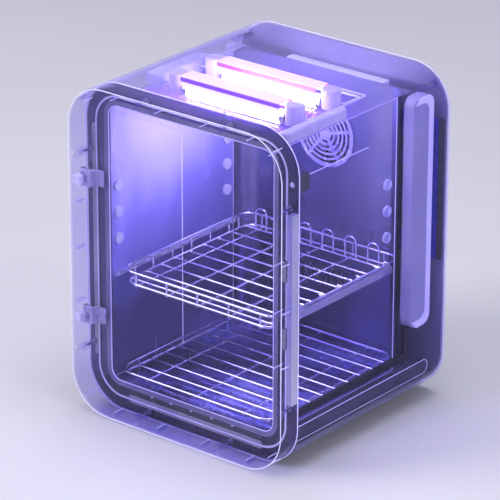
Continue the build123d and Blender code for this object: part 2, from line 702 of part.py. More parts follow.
with BuildPart() as striker_plates:
    for magnet_z in MAGNET_Z:
        block((134.5, 143.5), (PANEL_FRONT_Y, PANEL_FRONT_Y + 1.2), (magnet_z - 14, magnet_z + 14))
save(striker_plates, "striker_plates")


# ---------------------------------------------------------------- hinges

for place, hinge_z in HINGE_Z.items():
    with BuildPart() as hinge_bracket:
        rod((HINGE_X, HINGE_Y, hinge_z - EYE_HALF), (HINGE_X, HINGE_Y, hinge_z + EYE_HALF), EYE_R)
        block((-148.5, -144.5), (HINGE_Y, PANEL_FRONT_Y), (hinge_z - EYE_HALF, hinge_z + EYE_HALF))
        block((-149, -136), (PANEL_FRONT_Y, -115.6), (hinge_z - 14, hinge_z + 14))
        rod(
            (HINGE_X, HINGE_Y, hinge_z - 10),
            (HINGE_X, HINGE_Y, hinge_z + 10),
            PIN_R + 0.05,
            mode=Mode.SUBTRACT,
        )
    save(hinge_bracket, f"hinge_bracket_{place}")

    with BuildPart() as hinge_leaf:
        for side in (-1, 1):
            near = hinge_z + side * (EYE_HALF + EAR_GAP)
            far = near + side * EAR_T
            rod((HINGE_X, HINGE_Y, near), (HINGE_X, HINGE_Y, far), EYE_R)
            block((HINGE_X, -133), (-137.5, -130.5), sorted((near, far)))
        half = EYE_HALF + EAR_GAP + EAR_T
        block((-137, -133), (-137.5, LID_Y[0]), (hinge_z - half, hinge_z + half))
        block((-133, -122), (-128.4, LID_Y[0]), (hinge_z - half, hinge_z + half))
        rod(
            (HINGE_X, HINGE_Y, hinge_z - 12),
            (HINGE_X, HINGE_Y, hinge_z + 12),
            PIN_R,
            mode=Mode.SUBTRACT,
        )
    save(hinge_leaf, f"hinge_leaf_{place}")

with BuildPart() as hinge_pins:
    for hinge_z in HINGE_Z.values():
        rod((HINGE_X, HINGE_Y, hinge_z - 10.5), (HINGE_X, HINGE_Y, hinge_z + 9.3), PIN_R)
        rod((HINGE_X, HINGE_Y, hinge_z + 9.3), (HINGE_X, HINGE_Y, hinge_z + 11), 3.6)
save(hinge_pins, "hinge_pins")


# ---------------------------------------------------------------- door switch

switch_x, switch_z = SWITCH_XZ
with BuildPart() as door_switch:
    block((switch_x - 7, switch_x + 7), (PANEL_FRONT_Y, -100), (switch_z - 9, switch_z + 9))
    rod((switch_x, -120, switch_z), (switch_x, -103, switch_z), 3.06, mode=Mode.SUBTRACT)
save(door_switch, "door_switch")

with BuildPart() as switch_plunger:
    rod((switch_x, -122.4, switch_z), (switch_x, -105, switch_z), 3)
    fillet(switch_plunger.faces().sort_by(Axis.Y)[0].edges(), 1.2)
save(switch_plunger, "switch_plunger")


# ---------------------------------------------------------------- racks

with BuildPart() as lower_rack:
    wire_loop(RACK_X, LOWER_Y, LOWER_Z, 22, FRAME_WIRE_R)
    for bar in range(9):
        bar_y = LOWER_Y[0] + (LOWER_Y[1] - LOWER_Y[0]) * (bar + 1) / 10
        reach = RACK_X - (2.5 if bar in (0, 8) else 0)
        rod((-reach, bar_y, LOWER_Z), (reach, bar_y, LOWER_Z), WIRE_R)
    for wire_x in (-104, -70, 0, 70, 104):
        inset = 3.6 if abs(wire_x) > 100 else 0
        rod(
            (wire_x, LOWER_Y[0] + inset, LOWER_Z - 2),
            (wire_x, LOWER_Y[1] - inset, LOWER_Z - 2),
            WIRE_R,
        )
    for leg_x in (-RACK_X, RACK_X):
        for leg_y in (-80, 80):
            rod((leg_x, leg_y, FLOOR_Z + 0.3), (leg_x, leg_y, LOWER_Z), WIRE_R)
save(lower_rack, "lower_rack")

with BuildPart() as upper_rack:
    wire_loop(BASKET_X, UPPER_Y, UPPER_Z, 16, FRAME_WIRE_R)
    wire_loop(RACK_X, UPPER_Y, RIM_Z, 16, FRAME_WIRE_R)
    for bar_y in UPPER_BARS:
        rod((-BASKET_X, bar_y, UPPER_Z), (BASKET_X, bar_y, UPPER_Z), WIRE_R)
    for wire_x in (-90, -45, 0, 45, 90):
        rod((wire_x, UPPER_Y[0], UPPER_Z - 2), (wire_x, UPPER_Y[1], UPPER_Z - 2), WIRE_R)
        for wire_y in UPPER_Y:
            rod((wire_x, wire_y, UPPER_Z - 2), (wire_x, wire_y, RIM_Z), STUB_R)
    for side in (-1, 1):
        for post_y in (-92, -60, -26, 8, 42, 76, 94):
            rod((side * BASKET_X, post_y, UPPER_Z), (side * BASKET_X, post_y, RIM_Z), STUB_R)
            hook = (side * (BASKET_X - STUB_R), post_y, RIM_Z)
            rod(hook, (side * RACK_X, post_y, RIM_Z), STUB_R)
    for divider in range(6):
        left = 33 * (divider - 2.5) - DIVIDER_W / 2
        with BuildLine() as arch:
            FilletPolyline(
                (left, UPPER_BARS[-1], UPPER_Z),
                (left, UPPER_BARS[-1], UPPER_Z + DIVIDER_H),
                (left + DIVIDER_W, UPPER_BARS[-1], UPPER_Z + DIVIDER_H),
                (left + DIVIDER_W, UPPER_BARS[-1], UPPER_Z),
                radius=7,
            )
        with BuildSketch(Plane(origin=arch.line @ 0, z_dir=arch.line % 0)):
            Circle(STUB_R)
        sweep(path=arch.line)
save(upper_rack, "upper_rack")
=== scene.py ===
"""Looks for the bottle steriliser cabinet. Metres, +Z up, the door faces -Y, the hinge is on the -X side."""

import math

import bmesh
import bpy
from mathutils import Matrix, Vector


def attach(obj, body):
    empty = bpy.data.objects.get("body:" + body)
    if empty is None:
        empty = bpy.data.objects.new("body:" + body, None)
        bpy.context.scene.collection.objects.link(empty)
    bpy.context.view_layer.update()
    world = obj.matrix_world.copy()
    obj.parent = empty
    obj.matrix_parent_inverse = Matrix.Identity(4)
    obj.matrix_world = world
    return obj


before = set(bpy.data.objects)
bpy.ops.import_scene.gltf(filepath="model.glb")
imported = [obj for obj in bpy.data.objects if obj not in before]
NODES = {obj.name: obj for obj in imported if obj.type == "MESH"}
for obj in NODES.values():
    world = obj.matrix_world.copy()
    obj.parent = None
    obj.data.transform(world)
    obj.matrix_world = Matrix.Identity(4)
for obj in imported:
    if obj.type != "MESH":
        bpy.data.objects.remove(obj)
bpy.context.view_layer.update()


# ---------------------------------------------------------------- materials

NOISE_SPAN = (0.3, 0.7)  # most of a noise texture's values lie between these
GRAIN_SCALE = 900.0
GRAIN_HEIGHT = 0.0004
RIPPLE_SCALE = 14.0
RIPPLE_HEIGHT = 0.002
WAVE_SCALE = 7.0
WAVE_HEIGHT = 0.01
CLEAR_BLOTCH = 9.0
EDGE_FROM = 0.62  # a surface turned this far from the viewer counts as seen on edge

# A clear surface is see-through partly by its alpha and partly by transmission. With a real refractive
# index the two views behind it don't line up, so its index is next to 1, and a coat gives the gloss.
PLAIN_INDEX = 1.001
PLASTIC_INDEX = 1.47


class Surface:
    """A node material whose colour, roughness and relief vary over the surface."""

    def __init__(self, name):
        self.material = bpy.data.materials.new(name)
        self.material.use_nodes = True
        self.tree = self.material.node_tree
        self.shader = self.tree.nodes["Principled BSDF"]
        self.coords = self.tree.nodes.new("ShaderNodeTexCoord")

    def node(self, kind, **values):
        made = self.tree.nodes.new(kind)
        for key, value in values.items():
            if key in made.inputs:
                made.inputs[key].default_value = value
            else:
                setattr(made, key, value)
        return made

    def link(self, source, target):
        self.tree.links.new(source, target)

    def feed(self, source, socket):
        self.link(source, self.shader.inputs[socket])

    def set(self, **values):
        for key, value in values.items():
            self.shader.inputs[key.replace("_", " ")].default_value = value

    def height(self):
        """How high a point is, in metres."""
        parts = self.node("ShaderNodeSeparateXYZ")
        self.link(self.coords.outputs["Object"], parts.inputs["Vector"])
        return parts.outputs["Z"]

    def noise(self, scale, detail=3.0, stretch=(1, 1, 1)):
        mapping = self.node("ShaderNodeMapping", Scale=stretch)
        self.link(self.coords.outputs["Object"], mapping.inputs["Vector"])
        noise = self.node("ShaderNodeTexNoise", Scale=scale, Detail=detail)
        self.link(mapping.outputs["Vector"], noise.inputs["Vector"])
        return noise.outputs["Fac"]

    def remap(self, source, start, end, low=0.0, high=1.0):
        """The source, with start to end stretched to low to high."""
        span = {"From Min": start, "From Max": end, "To Min": low, "To Max": high}
        scaled = self.node("ShaderNodeMapRange", **span)
        self.link(source, scaled.inputs["Value"])
        return scaled.outputs["Result"]

    def spread(self, source, low, high):
        return self.remap(source, *NOISE_SPAN, low, high)

    def on_edge(self, blend):
        """0 where the surface faces the viewer, rising to 1 where it is seen on edge."""
        return self.node("ShaderNodeLayerWeight", Blend=blend).outputs["Facing"]

    def ramp(self, source, stops):
        """A colour that runs through stops, each a position and a colour."""
        made = self.node("ShaderNodeValToRGB")
        elements = made.color_ramp.elements
        first, *between, last = stops
        for element, (position, colour) in zip(elements, (first, last)):
            element.position = position
            element.color = (*colour, 1)
        for position, colour in between:
            elements.new(position).color = (*colour, 1)
        self.link(source, made.inputs["Fac"])
        return made.outputs["Color"]

    def two_tone(self, source, first, second, low=0.35, high=0.65):
        return self.ramp(source, ((low, first), (high, second)))

    def relief(self, source, strength, distance, socket="Normal"):
        bump = self.node("ShaderNodeBump", Strength=strength, Distance=distance)
        self.link(source, bump.inputs["Height"])
        self.feed(bump.outputs["Normal"], socket)

    def blotches(self, first, second, scale, stretch=(1, 1, 1)):
        """Two close colours in soft blotches."""
        self.feed(self.two_tone(self.noise(scale, stretch=stretch), first, second), "Base Color")

    def gloss(self, rough, scale, stretch=(1, 1, 1)):
        """A roughness that wanders between two values."""
        self.feed(self.spread(self.noise(scale, stretch=stretch), *rough), "Roughness")


def solid(
    name,
    first,
    second,
    rough,
    metal=0.0,
    blotch=18.0,
    grain=0.05,
    stretch=(1, 1, 1),
    coat=0.0,
):
    """An opaque surface: two close colours in soft blotches, uneven gloss and a fine grain."""
    s = Surface(name)
    s.set(Metallic=metal, Coat_Weight=coat, Coat_Roughness=0.08)
    s.blotches(first, second, blotch, stretch)
    s.gloss(rough, blotch * 3.1, stretch)
    s.relief(s.noise(GRAIN_SCALE, 2.0, stretch), grain, GRAIN_HEIGHT)
    return s


def milky(name, first, second, rough, alpha, coat=0.0):
    """A half-clear plastic. Its opacity goes from alpha's first value to its second, seen on edge."""
    s = Surface(name)
    s.set(IOR=PLASTIC_INDEX, Coat_Weight=coat, Coat_Roughness=0.03)
    s.blotches(first, second, CLEAR_BLOTCH)
    s.gloss(rough, CLEAR_BLOTCH * 4)
    s.relief(s.noise(RIPPLE_SCALE, 2.0), 0.03, RIPPLE_HEIGHT)
    s.feed(s.remap(s.on_edge(0.35), 0.0, 1.0, *alpha), "Alpha")
    s.material.surface_render_method = "BLENDED"
    return s


def glass(name, first, second, rough, body=0.0, alpha=1.0, edge=None, coat=0.4, fade=None):
    """A see-through plastic or glass: an uneven tint, some haze (body) and a rippled gloss on top.

    With edge, the haze and the opacity that it has where it is seen on edge, it gets denser there. With fade,
    a place and two distances from it, the first tint is near that place and the second is further away.
    """
    s = Surface(name)
    s.set(IOR=PLAIN_INDEX, Transmission_Weight=1.0 - body, Alpha=alpha)
    s.set(Coat_Weight=coat, Coat_Roughness=0.03)
    if fade:
        place, near, far = fade
        away = s.node("ShaderNodeVectorMath", operation="DISTANCE")
        away.inputs[1].default_value = place
        s.link(s.coords.outputs["Object"], away.inputs[0])
        share = s.remap(away.outputs["Value"], near, far)
        s.feed(s.two_tone(share, first, second, 0.0, 1.0), "Base Color")
    else:
        s.blotches(first, second, CLEAR_BLOTCH)
    s.gloss(rough, CLEAR_BLOTCH * 4)
    s.relief(s.noise(RIPPLE_SCALE, 2.0), 0.1, RIPPLE_HEIGHT, "Coat Normal")
    if edge:
        facing = s.on_edge(0.5)
        s.feed(s.remap(facing, EDGE_FROM, 1.0, 1.0 - body, 1.0 - edge[0]), "Transmission Weight")
        s.feed(s.remap(facing, EDGE_FROM, 1.0, alpha, edge[1]), "Alpha")
    return s


def chamber_sheet(name, tones, metal, rough, painted_light_z=(0.04, 0.37), painted_light_share=0.55, waviness=0.2):
    """A bright metal lining, with soft patches and a gentle waviness.

    Its tones run from dark to light. The painted light, which lightens the sheet from the lower height to the
    upper one, has its share of them, and the patches have the rest.
    """
    s = Surface(name)
    s.set(Metallic=metal, Coat_Weight=0.3, Coat_Roughness=0.05)
    both = s.node("ShaderNodeMath", operation="MULTIPLY_ADD")
    s.link(s.remap(s.height(), *painted_light_z), both.inputs[0])
    both.inputs[1].default_value = painted_light_share
    s.link(s.spread(s.noise(8, stretch=(1, 1, 0.5)), 0.0, 1.0 - painted_light_share), both.inputs[2])
    stops = [(0.1 + 0.8 * step / (len(tones) - 1), tone) for step, tone in enumerate(tones)]
    s.feed(s.ramp(both.outputs["Value"], stops), "Base Color")
    s.gloss(rough, 16, (1, 1, 0.3))
    s.relief(s.noise(WAVE_SCALE, 1.0, (1, 1, 0.5)), waviness, WAVE_HEIGHT)
    return s


def paint(surface, *nodes):
    """Give CAD nodes one surface all over."""
    for name in nodes:
        slots = NODES[name].data.materials
        slots.clear()
        slots.append(surface.material)
        for polygon in NODES[name].data.polygons:
            polygon.material_index = 0


SHELL = glass(
    "shell_plastic",
    (0.50, 0.46, 0.92),
    (0.62, 0.58, 0.98),
    (0.0, 0.02),
    body=0.02,
    alpha=0.55,
    edge=(0.6, 0.9),
)
DOOR = glass(
    "door_plastic",
    (0.56, 0.53, 0.97),
    (0.68, 0.65, 1.0),
    (0.0, 0.02),
    body=0.02,
    alpha=0.5,
    edge=(0.6, 0.9),
)
WINDOW = glass("window_glass", (0.94, 0.94, 1.0), (0.98, 0.98, 1.0), (0.0, 0.01), alpha=0.4, coat=0.3)
CLEAR_WALL = glass("clear_wall", (0.86, 0.84, 1.0), (0.93, 0.92, 1.0), (0.0, 0.02), alpha=0.4, coat=0.3)
INNER_FRAME = glass(
    "inner_frame",
    (0.86, 0.84, 1.0),
    (0.93, 0.92, 1.0),
    (0.0, 0.02),
    alpha=0.4,
    edge=(0.6, 0.9),
)
# The front frame is tinted near black as painted shade for the dark gaps round the chamber's mouth.
FRAME = glass("frame_plastic", (0.13, 0.11, 0.24), (0.20, 0.17, 0.33), (0.0, 0.06), body=0.3)
HANDLE = glass("handle_trim", (0.70, 0.68, 1.0), (0.84, 0.83, 1.0), (0.0, 0.1), body=0.4)
FROSTED = glass("frosted_plastic", (0.72, 0.70, 0.95), (0.84, 0.83, 1.0), (0.1, 0.3), body=0.5)
DUCT = glass("duct_plastic", (0.58, 0.56, 0.76), (0.68, 0.66, 0.86), (0.1, 0.2), body=0.75)
BASE_DUCT = glass(
    "base_duct_plastic",
    (0.40, 0.39, 0.56),
    (0.54, 0.53, 0.70),
    (0.0, 0.05),
    body=0.12,
    alpha=0.7,
    edge=(0.6, 0.9),
)

# The violet glow of the lamps is painted into the middle of the ceiling plate's tint.
LAMPS_MIDDLE = (-0.01, -0.03, 0.372)
CEILING = glass(
    "ceiling_plate",
    (0.62, 0.34, 1.0),
    (0.66, 0.64, 0.90),
    (0.0, 0.05),
    body=0.2,
    alpha=0.7,
    fade=(LAMPS_MIDDLE, 0.07, 0.15),
)

PEG = milky("peg_plastic", (0.70, 0.70, 1.0), (0.85, 0.85, 1.0), (0.05, 0.15), (0.5, 0.95), coat=0.5)
HOLDER = milky("holder_plastic", (0.86, 0.80, 1.0), (0.95, 0.92, 1.0), (0.15, 0.3), (0.7, 1.0), coat=0.3)
CASE = milky("ballast_case", (0.66, 0.65, 0.98), (0.80, 0.80, 1.0), (0.2, 0.35), (0.65, 0.95))
CHANNEL = milky("channel_plastic", (0.80, 0.76, 1.0), (0.92, 0.90, 1.0), (0.15, 0.3), (0.6, 1.0))

# The left and back sheets carry painted light, lighter towards the top; the floor sheet has none.
LEFT_SHEET = chamber_sheet(
    "left_sheet",
    ((0.07, 0.06, 0.18), (0.16, 0.15, 0.45), (0.30, 0.28, 0.78), (0.62, 0.60, 1.0), (0.86, 0.83, 1.0)),
    metal=0.25,
    rough=(0.12, 0.30),
    painted_light_z=(0.10, 0.34),
    painted_light_share=0.75,
)
BACK_SHEET = chamber_sheet(
    "back_sheet",
    ((0.045, 0.04, 0.10), (0.13, 0.12, 0.28), (0.26, 0.25, 0.46), (0.44, 0.42, 0.62)),
    metal=0.8,
    rough=(0.10, 0.30),
)
FLOOR_SHEET = chamber_sheet(
    "floor_sheet",
    ((0.05, 0.045, 0.16), (0.12, 0.11, 0.40), (0.26, 0.24, 0.75), (0.50, 0.48, 1.0)),
    metal=0.85,
    rough=(0.08, 0.30),
    painted_light_share=0.0,
    waviness=0.08,
)

REAR = solid("rear_plastic", (0.27, 0.255, 0.42), (0.31, 0.295, 0.47), (0.32, 0.48), blotch=45, grain=0.25)
PAD = solid("seal_grey", (0.34, 0.33, 0.37), (0.46, 0.45, 0.50), (0.5, 0.75), grain=0.2)
BLACK_SEAL = solid("seal_black", (0.004, 0.004, 0.006), (0.012, 0.012, 0.016), (0.4, 0.7))
# A near-black sheet painted as the shade under the chamber.
SHADE_SHEET = solid("painted_shade_sheet", (0.008, 0.007, 0.014), (0.02, 0.018, 0.032), (0.6, 0.85), grain=0.5)
RUBBER = solid("foot_rubber", (0.05, 0.05, 0.055), (0.09, 0.09, 0.095), (0.6, 0.85), grain=0.3)
LIP = solid("lip_grey", (0.20, 0.19, 0.30), (0.29, 0.28, 0.42), (0.3, 0.5))
GLOSS_BLACK = solid("panel_black", (0.02, 0.02, 0.03), (0.04, 0.04, 0.055), (0.06, 0.16), coat=0.5)
KEY = solid("key_white", (0.75, 0.77, 0.9), (0.9, 0.9, 1.0), (0.15, 0.3))
WHITE = solid("white_enamel", (0.80, 0.79, 0.92), (0.92, 0.92, 1.0), (0.2, 0.4), coat=0.3)
CHROME = solid(
    "wire_chrome",
    (0.72, 0.72, 0.86),
    (0.90, 0.90, 1.0),
    (0.06, 0.2),
    metal=1.0,
    blotch=60,
    grain=0.02,
)
STEEL = solid(
    "bright_steel",
    (0.70, 0.69, 0.92),
    (0.88, 0.88, 1.0),
    (0.15, 0.32),
    metal=0.9,
    stretch=(1, 0.05, 1),
)
SCREW = solid("screw_steel", (0.42, 0.42, 0.46), (0.6, 0.6, 0.64), (0.25, 0.45), metal=1.0, blotch=90)
MAGNET = solid("magnet_nickel", (0.25, 0.25, 0.28), (0.36, 0.36, 0.4), (0.2, 0.4), metal=1.0)
GRILLE = solid("grille_sheet", (0.50, 0.48, 0.95), (0.68, 0.67, 1.0), (0.2, 0.35), metal=0.5)
CAP = solid("cap_metal", (0.80, 0.80, 0.86), (0.92, 0.92, 0.96), (0.2, 0.35), metal=1.0)
ALUMINIUM = solid("heater_sheet", (0.7, 0.7, 0.74), (0.85, 0.85, 0.88), (0.25, 0.45), metal=1.0)
FAN = solid("fan_plastic", (0.02, 0.02, 0.025), (0.04, 0.04, 0.05), (0.35, 0.6), grain=0.2)
BOARD = solid("board_blue", (0.06, 0.05, 0.55), (0.10, 0.08, 0.70), (0.2, 0.4), blotch=120, coat=0.3)
PARTS = solid("board_black", (0.03, 0.03, 0.04), (0.06, 0.06, 0.08), (0.3, 0.6))
WIRE = solid("wire_sleeve", (0.72, 0.72, 0.85), (0.82, 0.82, 0.95), (0.35, 0.5))
FOAM = solid("filter_foam", (0.45, 0.45, 0.5), (0.6, 0.6, 0.66), (0.8, 0.95), blotch=300, grain=0.8)

# Moulded edges catch more light than the thin beads here can, so the beads carry a painted highlight in their
# light colour, and they and the grip glow faintly with painted light.
EDGE_HIGHLIGHT = solid("painted_edge_highlight", (0.74, 0.72, 1.0), (0.86, 0.85, 1.0), (0.1, 0.3), coat=0.5)
EDGE_HIGHLIGHT.set(Emission_Color=(0.62, 0.58, 1.0, 1), Emission_Strength=0.35)
GRIP = solid("grip_plastic_painted_glow", (0.70, 0.69, 0.96), (0.82, 0.81, 1.0), (0.3, 0.45), coat=0.2)
GRIP.set(Emission_Color=(0.55, 0.53, 0.9, 1), Emission_Strength=0.25)

TUBE = Surface("tube_glow")
TUBE.blotches((0.96, 0.90, 1.0), (1.0, 0.98, 1.0), 30)
TUBE.feed(TUBE.two_tone(TUBE.noise(22), (0.90, 0.80, 1.0), (0.98, 0.94, 1.0)), "Emission Color")
TUBE.set(Emission_Strength=38.0, Roughness=0.1)

# A reflector's light is painted into its colour and a faint glow: white at its foot and pink on its top, with
# violet sides between.
REFLECTOR_Z = (0.3855, 0.3964)
REFLECTOR_STOPS = (0.38, 0.5, 0.86, 0.97)
REFLECTOR = Surface("reflector_painted_light")
level = REFLECTOR.remap(REFLECTOR.height(), *REFLECTOR_Z)
for socket, foot, side, top in (
    ("Base Color", (1.0, 0.95, 1.0), (0.26, 0.06, 0.85), (0.98, 0.80, 0.98)),
    ("Emission Color", (1.0, 0.94, 1.0), (0.16, 0.02, 0.60), (0.92, 0.62, 0.90)),
):
    REFLECTOR.feed(REFLECTOR.ramp(level, zip(REFLECTOR_STOPS, (foot, side, side, top))), socket)
REFLECTOR.set(Emission_Strength=0.9, Roughness=0.3)

paint(SHELL, "outer_shell")
paint(DOOR, "door_front")
paint(WINDOW, "door_window")
paint(CLEAR_WALL, "chamber_right_wall")
paint(CEILING, "chamber_ceiling")
paint(LEFT_SHEET, "chamber_left_wall")
paint(BACK_SHEET, "chamber_back_wall")
paint(FLOOR_SHEET, "chamber_floor")
paint(FRAME, "front_frame")
paint(INNER_FRAME, "door_inner_frame")
paint(REAR, "rear_cover", "filter_cover")
paint(GRIP, "rear_grip")
paint(PAD, "door_gasket")
paint(BLACK_SEAL, "edge_seal")
paint(RUBBER, "feet")
paint(GLOSS_BLACK, "control_panel", "display_strip", "door_switch")
paint(KEY, "touch_keys", "switch_plunger")
paint(CHROME, "upper_rack", "lower_rack", "hinge_pins")
paint(STEEL, "rack_rail_left", "rack_rail_right", "striker_plates")
paint(FROSTED, "hinge_leaf_upper", "hinge_leaf_lower", "hinge_bracket_upper", "hinge_bracket_lower")
paint(SCREW, "door_screws", "rear_screws")
paint(MAGNET, "door_magnets")
paint(HANDLE, "door_handle")
paint(PEG, "rack_pegs", "temperature_sensor")
paint(GRILLE, "fan_grille")
paint(HOLDER, "lamp_holders_front", "lamp_holders_rear")
paint(CAP, "lamp_caps")
paint(TUBE, "uv_tube_front", "uv_tube_rear")
paint(REFLECTOR, "reflector_front", "reflector_rear")
paint(CASE, "ballast")
paint(CHANNEL, "cable_channel")
paint(WIRE, "lamp_harness")
paint(DUCT, "side_duct_left", "side_duct_right", "air_duct")
paint(BASE_DUCT, "base_duct")
paint(FAN, "fan_frame", "fan_rotor", "power_inlet")
paint(BOARD, "control_board")
paint(PARTS, "board_parts")
paint(FOAM, "filter_pad")
paint(ALUMINIUM, "heater_frame", "heater_fins")


# ---------------------------------------------------------------- making pieces

CORNER_STEPS = 14
CIRCLE_STEPS = 48
BEAD_R = 0.0006
FINE_BEAD_R = 0.0005


def add_piece(name, data, surface, body):
    """Put a curve or mesh in the scene. It rides on a body and takes the surface's finish."""
    data.materials.append(surface.material)
    piece = bpy.data.objects.new(name, data)
    bpy.context.scene.collection.objects.link(piece)
    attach(piece, body)
    return piece


def wires(name, paths, radius, surface, body, closed=False):
    """Round beads along paths, each a list of points, in one piece."""
    curve = bpy.data.curves.new(name, "CURVE")
    curve.dimensions = "3D"
    curve.bevel_depth = radius
    curve.bevel_resolution = 3
    curve.use_fill_caps = True
    for path in paths:
        spline = curve.splines.new("POLY")
        spline.points.add(len(path) - 1)
        for point, place in zip(spline.points, path):
            point.co = (*place, 1)
        spline.use_cyclic_u = closed
    return add_piece(name, curve, surface, body)


def band(name, outer, inner, thickness, surface, body, slot, closed=True, soft=True):
    """A thick sheet between two matching rows of points, with its edges softened unless soft is off."""
    count = len(outer)
    last = count if closed else count - 1
    faces = [(i, (i + 1) % count, count + (i + 1) % count, count + i) for i in range(last)]
    mesh = bpy.data.meshes.new(name)
    mesh.from_pydata(outer + inner, [], faces)
    piece = add_piece(name, mesh, surface, body)
    thick = piece.modifiers.new("thick", "SOLIDIFY")
    thick.thickness = thickness
    thick.offset = 0
    if soft:
        bevel = piece.modifiers.new("soft", "BEVEL")
        bevel.width = thickness / 4
        bevel.segments = 2
    return piece


def bar(name, low, high, soft, surface, body):
    """A bar between two corners, with its edges rounded over."""
    shape = bmesh.new()
    bmesh.ops.create_cube(shape, size=1)
    for vertex in shape.verts:
        for axis in range(3):
            vertex.co[axis] = low[axis] if vertex.co[axis] < 0 else high[axis]
    bmesh.ops.bevel(shape, geom=shape.edges[:], offset=soft, segments=3, affect="EDGES", profile=0.5)
    mesh = bpy.data.meshes.new(name)
    shape.to_mesh(mesh)
    shape.free()
    return add_piece(name, mesh, surface, body)


def ring(x, y, z, radius):
    """Points round an upright circle at depth y."""
    turns = [2 * math.pi * step / CIRCLE_STEPS for step in range(CIRCLE_STEPS)]
    return [(x + radius * math.cos(turn), y, z + radius * math.sin(turn)) for turn in turns]


def round_rect(y, half_w, half_h, corner, middle_z, middle_x=0.0):
    """Points round a rounded rectangle that stands upright at depth y."""
    points = []
    for quarter in range(4):
        side = 1 if quarter in (0, 3) else -1
        level = 1 if quarter < 2 else -1
        for step in range(CORNER_STEPS + 1):
            turn = math.pi / 2 * (quarter + step / CORNER_STEPS)
            x = side * (half_w - corner) + corner * math.cos(turn) + middle_x
            z = middle_z + level * (half_h - corner) + corner * math.sin(turn)
            points.append((x, y, z))
    return points


def rounded_side(x, y, z, corner):
    """Points round a rounded rectangle that stands along the cabinet's side, from y[0] to y[1]."""
    half_y, half_z = (y[1] - y[0]) / 2, (z[1] - z[0]) / 2
    flat = round_rect(0, half_y, half_z, corner, sum(z) / 2)
    return [(x, point[0] + sum(y) / 2, point[2]) for point in flat]


# ---------------------------------------------------------------- the cabinet's outline

HALF_W = 0.153
HALF_H = 0.199
MIDDLE_Z = 0.201
SHELL_R = 0.051


def outline(y, inset):
    """Points round the cabinet, seen from the front, at depth y."""
    return round_rect(y, HALF_W - inset, HALF_H - inset, SHELL_R - inset, MIDDLE_Z)


# Painted highlight beads along the moulded edges: depth, inset and radius, then the body and the slot.
for name, (y, inset, radius, body, slot) in {
    "seam_bead": (-0.1214, 0.0006, BEAD_R, "cabinet", "shell"),
    "rear_bead": (0.1505, 0.0012, BEAD_R, "cabinet", "shell"),
    "door_bead": (-0.1506, 0.0012, FINE_BEAD_R, "door", "door"),
    "seal_bead": (-0.1222, 0.017, BEAD_R, "cabinet", "seal_grey"),
}.items():
    wires(name, [outline(y, inset)], radius, EDGE_HIGHLIGHT, body, closed=True)


# ---------------------------------------------------------------- the chamber and its mouth

MOUTH_HALF_W = 0.118
MOUTH_HALF_H = 0.167
MOUTH_R = 0.014
MOUTH_Z = 0.205
MOUTH_BEAD_Y = -0.1216


def mouth(y, wider=0.0):
    """Points round the chamber's opening in the front frame, made wider by that much."""
    return round_rect(y, MOUTH_HALF_W + wider, MOUTH_HALF_H + wider, MOUTH_R + wider, MOUTH_Z)


# A painted highlight bead runs round the chamber's mouth.
wires("mouth_bead", [mouth(MOUTH_BEAD_Y)], BEAD_R, EDGE_HIGHLIGHT, "cabinet", closed=True)

# Painted highlight beads along the folds of the chamber sheet, the weld down its left wall, and the line high
# on its right wall.
CHAMBER_X = 0.118
CHAMBER_Z = (0.038, 0.372)
CHAMBER_FRONT_Y = -0.1185
FOLD_Y = 0.097
FOLD_X = CHAMBER_X + 0.0004
WELD_Y = 0.004
LINE_Y = (-0.076, 0.045)
LINE_Z = 0.328
edges = []
for side in (-1, 1):
    edges.append([(side * FOLD_X, FOLD_Y, z) for z in CHAMBER_Z])
    for z in CHAMBER_Z:
        edges.append([(side * FOLD_X, y, z) for y in (CHAMBER_FRONT_Y, FOLD_Y)])
edges.append([(-CHAMBER_X, WELD_Y, z) for z in CHAMBER_Z])
edges.append([(CHAMBER_X, y, LINE_Z) for y in LINE_Y])
wires("chamber_edges", edges, FINE_BEAD_R, EDGE_HIGHLIGHT, "cabinet")


# ---------------------------------------------------------------- the rear cover

COVER_Y = 0.1505
PANEL_X = 0.078

# Raised frames on the cover: half width, half height, corner, then the middle's height and x.
OUTER_FRAME = (0.1375, 0.1835, 0.036, MIDDLE_Z)
DRAWER_FRAME = (0.0505, 0.0195, 0.005, 0.065)
INLET_FRAME = (0.019, 0.0145, 0.004, 0.042, -0.095)
GRIP_FRAME = (0.0735, 0.0145, 0.006, 0.357)
PANEL_FRAME = (0.042, 0.052, 0.012, 0.172)
FAN_Z = 0.2946
FAN_RING_R = 0.0425
COVER_BEAD_R = 0.0011
beads = [
    round_rect(COVER_Y, *OUTER_FRAME),
    ring(0, COVER_Y, FAN_Z, FAN_RING_R),
    round_rect(COVER_Y, *DRAWER_FRAME),
    round_rect(COVER_Y, *INLET_FRAME),
    round_rect(COVER_Y, *GRIP_FRAME),
]
beads += [round_rect(COVER_Y, *PANEL_FRAME, side * PANEL_X) for side in (-1, 1)]
wires("cover_beads", beads, COVER_BEAD_R, REAR, "cabinet", closed=True)

LOUVRE_X = (0.050, 0.106)
LOUVRE_Z = 0.136
LOUVRE_PITCH = 0.012
LOUVRE_COUNT = 7
LOUVRE_R = 0.0021
louvres = [
    [(side * x, COVER_Y, LOUVRE_Z + LOUVRE_PITCH * row) for x in LOUVRE_X]
    for side in (-1, 1)
    for row in range(LOUVRE_COUNT)
]
wires("cover_louvres", louvres, LOUVRE_R, REAR, "cabinet")

SCREW_X = 0.1335
SCREW_Z = (0.0215, 0.3805)
SCREW_FACE_Y = 0.1519
CROSS_ARM = 0.0016
CROSS_R = 0.00035
crosses = [
    [(side * SCREW_X + end * dx, SCREW_FACE_Y, z + end * dz) for end in (-1, 1)]
    for side in (-1, 1)
    for z in SCREW_Z
    for dx, dz in ((CROSS_ARM, 0), (0, CROSS_ARM))
]
wires("screw_crosses", crosses, CROSS_R, BLACK_SEAL, "cabinet")


# ---------------------------------------------------------------- the ducts

